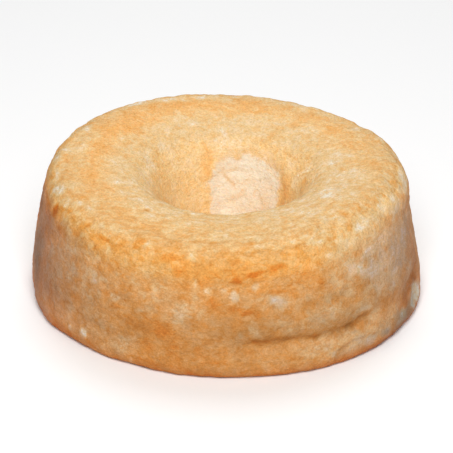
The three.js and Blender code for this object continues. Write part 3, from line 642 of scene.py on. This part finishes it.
def crustShades(ring, marks, lineTone, lineLight):
    # what the material reads: tone and light by the outline, marks, noise and lines; the shares of mottling,
    # golden brown and wrinkles by the outline, the place round the cake and the tone
    # the golden share's dip at the wall's left and right edges is painted shade, greying the crust where the
    # wall turns from the front light
    small = layeredNoise(ring.place, *noises["smallSwirl"]), layeredNoise(ring.place, *noises["smallRipple"])
    markTone, markLight = markShade(marks, ring, (ring.swirl, ring.ripple), small)
    (shoulderStart, shoulderEnd), undersideEdge = browning["wall"]
    wall = (1 - smoothStep(shoulderStart, shoulderEnd, ring.reach)) * smoothStep(*undersideEdge, ring.reach)

    along, toneAlong, lightAlong = zip(*plainCrustAndHoleLight)
    palest, bend = browning["palest"]
    tone = np.interp(ring.reach + ring.ripple, along, toneAlong) + markTone
    tone = tone + layeredNoise(ring.place, *noises["tone"])
    tone = (tone + palest + np.hypot(tone - palest, bend)) / 2
    tone = tone + (bareCrumb["tone"] - tone) * ring.bare + lineTone

    dapples = smoothStep(*browning["lightFrom"], ring.reach) * layeredNoise(ring.place, *noises["light"])
    light = np.interp(ring.reach + wanderShare["light"] * ring.ripple, along, lightAlong) + markLight
    light = light * (1 + dapples)
    light = light + (bareCrumb["light"] - light) * ring.bare + lineLight

    lively = ring.lively + (bareCrumb["lively"] - ring.lively) * ring.bare
    for middle, halfWidth, share in calmRound:
        lively = lively * (1 - share * wall * bell(turnBetween(middle, ring.azimuth) / halfWidth))
    calmed, paleness = browning["calmMarks"]
    lively = lively * (1 - calmed * smoothStep(*paleness, -markTone))

    pale, reached = browning["paleWall"], browning["edgeShadeTones"]
    goldenAndEdgeShade = np.interp(ring.reach, *zip(*goldenAlong)) * (1 - ring.bare)
    goldenAndEdgeShade = goldenAndEdgeShade - pale["pinker"] * np.clip(pale["below"] - tone, 0, pale["most"]) * wall
    byTone = np.clip(reached["least"] + reached["steep"] * tone, *reached["limits"])
    # painted shade: greyer, less golden crust at the wall's left and right edges seen from the camera
    for middle, halfWidth, share in paintedEdgeShade:
        goldenAndEdgeShade = goldenAndEdgeShade + share * bell(turnBetween(middle, ring.azimuth) / halfWidth) * byTone * wall
    rim = bell(turnBetween(redRim["azimuth"], ring.azimuth) / redRim["halfWidth"])
    goldenAndEdgeShade = goldenAndEdgeShade + redRim["share"] * rim * smoothStep(*redRim["reaches"], ring.reach)
    goldenAndEdgeShade = goldenAndEdgeShade * smoothStep(*browning["goldenFrom"], tone)

    near = bell(turnBetween(creasedRound["azimuth"], ring.azimuth) / creasedRound["halfWidth"])
    roundShare = creasedRound["far"] + (1 - creasedRound["far"]) * near
    creased = np.interp(ring.reach, *zip(*creasedAlong)) * roundShare
    byMarks, most = browning["markCreases"]
    creased = creased + byMarks * np.clip(markTone, 0, most)
    creased = creased * (1 - browning["crumbCreases"] * ring.bare)
    return {"tone": tone, "light": light, "lively": lively, "goldenAndEdgeShade": goldenAndEdgeShade, "creased": creased}


def cakeSurface():  # grid of the cake's points and of the shades its material reads
    ring = unevenRing()
    ring.swirl, ring.ripple = wanderings(ring)
    ring.lively = np.interp(ring.reach, *zip(*livelyAlong))
    ring.bare = bareShare(ring)
    farMarks, farPits = strewMarks()
    lineReach = ring.reach + wanderShare["lines"] * ring.ripple
    lineTone, lineLight, lineRise = lineShade(skinLinesAndPaintedShade, ring.azimuth, lineReach)
    raiseCrust(ring, crustRelief(ring, pits + farPits) + lineRise)
    return ring.place, crustShades(ring, crustMarksAndPaintedShade + farMarks, lineTone, lineLight)


def gridMesh(name, place, shades):  # closed grid: rows and columns both meet themselves again
    rows, columns = place.shape[:2]
    index = np.arange(rows * columns).reshape(rows, columns)
    right, above = np.roll(index, -1, 1), np.roll(index, -1, 0)
    quads = np.stack([index, right, np.roll(right, -1, 0), above], -1).reshape(-1, 4)
    mesh = bpy.data.meshes.new(name)
    mesh.from_pydata(place.reshape(-1, 3), [], quads)
    for shade, values in shades.items():
        attribute = mesh.attributes.new(shade, "FLOAT", "POINT")
        everywhere = np.broadcast_to(values, (rows, columns)).astype(np.float32)
        attribute.data.foreach_set("value", everywhere.ravel())
    mesh.shade_smooth()
    piece = bpy.data.objects.new(name, mesh)
    bpy.context.scene.collection.objects.link(piece)
    return piece


place, shades = cakeSurface()
place *= metre
low, high = (np.array(corner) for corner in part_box("cake"))
middle = (place.reshape(-1, 3).min(0) + place.reshape(-1, 3).max(0)) / 2
place[..., :2] += ((low + high) / 2 - middle)[:2]
cakePiece = gridMesh("cake_crust", place, shades)
print("cake:", len(cakePiece.data.polygons), "faces")


def addNode(tree, kind, values=(), **settings):
    # One node: its settings, then a value or link for each socket, by name or in order.
    # A node given as a value stands for its first output.
    node = tree.nodes.new("ShaderNode" + kind)
    for name, setting in settings.items():
        setattr(node, name, setting)
    for socket, value in (values.items() if isinstance(values, dict) else enumerate(values)):
        source = value.outputs[0] if isinstance(value, bpy.types.Node) else value
        if isinstance(source, bpy.types.NodeSocket):
            tree.links.new(source, node.inputs[socket])
        else:
            node.inputs[socket].default_value = source
    return node


crust = {
    # the tones from crumb to deep orange brown at full light, which then dims them
    "tones": [(0.00, "#FFF3DB"), (0.12, "#FDDCAE"), (0.25, "#FBD49A"), (0.38, "#FACA88"), (0.52, "#F9BF77"),
              (0.80, "#F6AF5A"), (1.10, "#F39F42"), (1.60, "#EE8726")],
    "flatter": 1.25,             # how much wider than tall the spots of the wall are
    "swirl": (7, 4.0),           # mm between eddies that drag the mottling, and how far they drag it
    # mottling: mm from one spot to the next, detail, share in the tone and share in the light
    "cloud": (10, 1, 0.90, 0.07),
    "dapple": (4.5, 1.5, 0.95, 0.13),
    "fleck": (2.0, 1, 0.30, 0.26),
    "grain": (0.9, 1, 0.00, 0.48),
    "fineShare": (1.8, 0.25),    # flecks and grain are as strong as 1.8 * lively + 0.25, and 1 at most
    "spotted": (3, 1.3, 0.32),   # spots in the tone are 1.3 * noise^3 + 0.32: few and strong on a wide ground
    "shadowAt": (0.31, 0.17, 0.23),  # the light's noise is read so many metres off, to have spots of its own
    "deeper": 0.3,               # how much browner a spot is for being dimmer
    # thin brown veins between the skin's lumps: mm between them, sharpness, share in the tone, in the light
    "vein": (6.5, 5.0, 0.26, -0.04),
    # fine wrinkles that run round the cake: mm across, how much longer, share in the tone, in the light
    "wrinkle": (2.6, 3.0, 0.72, 0.28),
    "wrinkleDrag": (2, 6),       # mm that the eddies drag them round the cake, and across
    "patternDetail": 2,          # finer layers in the eddies, the veins and the wrinkles
    "patternRoughness": 0.6,     # strength of each finer layer in any pattern
    "roughness": 0.7,
    "bumpHeights": (0.5, 0.25, 0.5),  # mm, of the flecks, the grain and the wrinkles
}


def crustMaterial():
    # Sponge crust, baked against a tin: dry and matt, golden where it browned, pale where it pulled off.
    # The grain is sugar and egg-white foam burst at the surface, a little under 1 mm across.
    material = bpy.data.materials.new("baked sponge crust")
    material.use_nodes = True
    tree = material.node_tree
    tree.nodes.clear()
    add = partial(addNode, tree)

    def lumpsEvery(size, detail, at):  # inputs of a noise node that has one lump every size millimetres
        scale, roughness = 1 / (size * metre), crust["patternRoughness"]
        return {"Vector": at, "Scale": scale, "Detail": detail, "Roughness": roughness}

    def sway(value, source, share):  # value + (source - 0.5) * share
        swing = add("Math", (source, 0.5), operation="SUBTRACT")
        return add("Math", (swing, share, value), operation="MULTIPLY_ADD")

    # the values that the mesh carries
    names = ("tone", "light", "lively", "goldenAndEdgeShade", "creased")
    carried = [add("Attribute", attribute_name=name).outputs["Fac"] for name in names]
    tone, light, lively, goldenAndEdgeShade, creased = carried

    # the mottling is read at a place dragged by eddies
    objectPlace = add("TexCoord").outputs["Object"]
    where = add("VectorMath", (objectPlace, (1, 1, crust["flatter"])), operation="MULTIPLY")
    gap, drag = crust["swirl"]
    stirred = add("TexNoise", lumpsEvery(gap, crust["patternDetail"], where)).outputs["Color"]
    eddies = add("VectorMath", (stirred, (0.5, 0.5, 0.5)), operation="SUBTRACT")
    dragging = add("VectorMath", {0: eddies, "Scale": 2 * drag * metre}, operation="SCALE")
    dragged = add("VectorMath", (where, dragging), operation="ADD")
    elsewhere = add("VectorMath", (where, crust["shadowAt"]), operation="ADD")

    glow, shadows = 1.0, {}
    slope, least = crust["fineShare"]
    sharpened = add("Math", (lively, slope, least), operation="MULTIPLY_ADD")
    fineShare = add("Math", (sharpened, 1), operation="MINIMUM")
    power, steep, ground = crust["spotted"]
    for name, strength in (("cloud", lively), ("dapple", lively), ("fleck", fineShare), ("grain", fineShare)):
        size, detail, toneShare, lightShare = crust[name]
        spots = add("Math", (add("TexNoise", lumpsEvery(size, detail, dragged)), power), operation="POWER")
        spots = add("Math", (spots, steep, ground), operation="MULTIPLY_ADD")
        shadows[name] = add("TexNoise", lumpsEvery(size, detail, elsewhere))
        # for flecks and grain this noise is also the bump's height below, so their low parts come out dimmer
        # and browner: partly painted shade in the dips
        deeper = -crust["deeper"] * lightShare
        tone = sway(tone, spots, add("Math", (strength, toneShare), operation="MULTIPLY"))
        tone = sway(tone, shadows[name], add("Math", (strength, deeper), operation="MULTIPLY"))
        glow = sway(glow, shadows[name], add("Math", (strength, lightShare), operation="MULTIPLY"))

    # a vein is max(0, 1 - sharp * |2 * noise - 1|)^2, so it lies where the noise crosses its middle
    gap, sharp, toneShare, lightShare = crust["vein"]
    veinNoise = add("TexNoise", lumpsEvery(gap, crust["patternDetail"], dragged))
    crossing = add("Math", (veinNoise, 2 * sharp, -sharp), operation="MULTIPLY_ADD")
    beside = add("Math", (crossing,), operation="ABSOLUTE")
    crest = add("Math", (add("Math", (1, beside), operation="SUBTRACT"), 0), operation="MAXIMUM")
    vein = add("Math", (add("Math", (crest, 2), operation="POWER"), lively), operation="MULTIPLY")
    tone = add("Math", (vein, toneShare, tone), operation="MULTIPLY_ADD")
    glow = add("Math", (vein, lightShare, glow), operation="MULTIPLY_ADD")

    # wrinkles are read round a circle, and by height less radius, which runs up the wall and in over the top
    size, longer, toneShare, lightShare = crust["wrinkle"]
    dragRound, dragAcross = crust["wrinkleDrag"]
    circle = cake["crownRadius"] * metre / longer
    level = add("VectorMath", (objectPlace, (1, 1, 0)), operation="MULTIPLY")
    direction = add("VectorMath", (level,), operation="NORMALIZE")
    roundCake = add("VectorMath", (direction, (circle, circle, 0)), operation="MULTIPLY")
    radius = add("VectorMath", (level,), operation="LENGTH").outputs["Value"]
    height = add("SeparateXYZ", (objectPlace,)).outputs["Z"]
    upwards = add("CombineXYZ", {"Z": add("Math", (height, radius), operation="SUBTRACT")})
    straight = add("VectorMath", (roundCake, upwards), operation="ADD")
    bends = (dragRound * metre, dragRound * metre, dragAcross * metre)
    bending = add("VectorMath", (eddies, bends), operation="MULTIPLY")
    bent = add("VectorMath", (straight, bending), operation="ADD")
    wrinkles = add("TexNoise", lumpsEvery(size, crust["patternDetail"], bent))
    # the same noise lifts the wrinkles' bump below, so their troughs come out browner and dimmer: partly
    # painted shade
    tone = sway(tone, wrinkles, add("Math", (creased, -toneShare), operation="MULTIPLY"))
    glow = sway(glow, wrinkles, add("Math", (creased, lightShare), operation="MULTIPLY"))

    # colour: the ramp's, times light and glow, with the golden share more green, and less green in the
    # painted shade at the wall's left and right edges
    deepest = crust["tones"][-1][0]
    ramp = add("ValToRGB", (add("Math", (tone, deepest), operation="DIVIDE"),))
    stops = ramp.color_ramp.elements
    while len(stops) < len(crust["tones"]):
        stops.new(0.5)
    for stop, (at, colour) in zip(stops, crust["tones"]):
        stop.position = at / deepest
        stop.color = linearColour(colour)
    brightness = add("Math", (light, glow), operation="MULTIPLY")
    dimmed = add("VectorMath", {0: ramp, "Scale": brightness}, operation="SCALE")
    greener = add("CombineXYZ", (1.0, add("Math", (goldenAndEdgeShade, 1), operation="ADD"), 1.0))
    browned = add("VectorMath", (dimmed, greener), operation="MULTIPLY")

    wrinkled = add("Math", (wrinkles, creased), operation="MULTIPLY")
    bumped = {}
    for source, rise in zip((shadows["fleck"], shadows["grain"], wrinkled), crust["bumpHeights"]):
        values = {"Strength": 1.0, "Distance": rise * metre, "Height": source, **bumped}
        bumped = {"Normal": add("Bump", values)}
    shader = add("BsdfPrincipled", {
        **bumped,
        "Base Color": browned,
        "Roughness": crust["roughness"],
        "IOR": 1.45,
        "Specular IOR Level": 0.3,
        "Subsurface Weight": 0.12,
        "Subsurface Radius": (1.0, 0.5, 0.25),
        "Subsurface Scale": 0.003,
    })
    add("OutputMaterial", {"Surface": shader})
    return material


cakePiece.data.materials.append(crustMaterial())
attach(cakePiece, "root")
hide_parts("cake")
print("crust material done")


def plainMaterial(name, colour, roughness):  # one colour, without a pattern
    material = bpy.data.materials.new(name)
    material.use_nodes = True
    shader = material.node_tree.nodes["Principled BSDF"]
    shader.inputs["Base Color"].default_value = linearColour(colour)
    shader.inputs["Roughness"].default_value = roughness
    return material


studio = {
    "floorHalf": 4.0,        # m, half the floor's side
    "floor": "#FAFAFA",
    "floorRoughness": 0.9,
    "world": "#FFFFFF",
    "worldStrength": 0.07,
    "aimHeight": 0.03,       # m, where the softboxes point
}

half = studio["floorHalf"]
corners = [(-half, -half, 0), (half, -half, 0), (half, half, 0), (-half, half, 0)]
floorMesh = bpy.data.meshes.new("floor")
floorMesh.from_pydata(corners, [], [(0, 1, 2, 3)])
floor = bpy.data.objects.new("floor", floorMesh)
floorMesh.materials.append(plainMaterial("matt paint", studio["floor"], studio["floorRoughness"]))
bpy.context.scene.collection.objects.link(floor)

world = bpy.data.worlds.new("studio")
world.use_nodes = True
background = world.node_tree.nodes["Background"]
background.inputs["Color"].default_value = linearColour(studio["world"])
background.inputs["Strength"].default_value = studio["worldStrength"]
bpy.context.scene.world = world
bpy.context.scene.view_settings.view_transform = "Standard"


def fromMiddle(azimuth, elevation, distance, lift):  # a place at a distance from a point above the origin
    a, e = math.radians(azimuth), math.radians(elevation)
    away = distance * math.cos(e)
    return (away * math.cos(a), away * math.sin(a), lift + distance * math.sin(e))


def aim(thing, target, roll=0):  # turns an object so that its -Z points at the target, and rolls it
    way = thing.location - target
    thing.rotation_euler = way.to_track_quat("Z", "Y").to_euler()
    thing.rotation_euler.rotate_axis("Z", math.radians(roll))


# softboxes: (name, azimuth, elevation, distance in m, size in m, watts, colour)
lights = [
    ("key softbox", -90, 50, 1.6, 1.0, 25, "#FFFFFF"),
    ("back softbox", 90, 60, 1.6, 1.0, 12.5, "#FFFFFF"),
]
for name, azimuth, elevation, distance, size, watts, colour in lights:
    lamp = bpy.data.lights.new(name, "AREA")
    lamp.size = size
    lamp.energy = watts
    lamp.color = linearColour(colour)[:3]
    softbox = bpy.data.objects.new(name, lamp)
    softbox.location = fromMiddle(azimuth, elevation, distance, studio["aimHeight"])
    bpy.context.scene.collection.objects.link(softbox)
    aim(softbox, Vector((0, 0, studio["aimHeight"])))

# degrees, metres, and millimetres for the lens and its sensor
view = {
    "azimuth": -90,
    "elevation": 28.07,
    "distance": 1.0,
    "lift": 0.0301,
    "roll": 0.52,
    "lens": 153.0,
    "sensor": 36,
}
cameraData = bpy.data.cameras.new("camera")
cameraData.lens = view["lens"]
cameraData.sensor_width = view["sensor"]
camera = bpy.data.objects.new("camera", cameraData)
camera.location = fromMiddle(view["azimuth"], view["elevation"], view["distance"], view["lift"])
bpy.context.scene.collection.objects.link(camera)
aim(camera, Vector((0, 0, view["lift"])), view["roll"])
bpy.context.scene.camera = camera
print("floor, light and camera done")
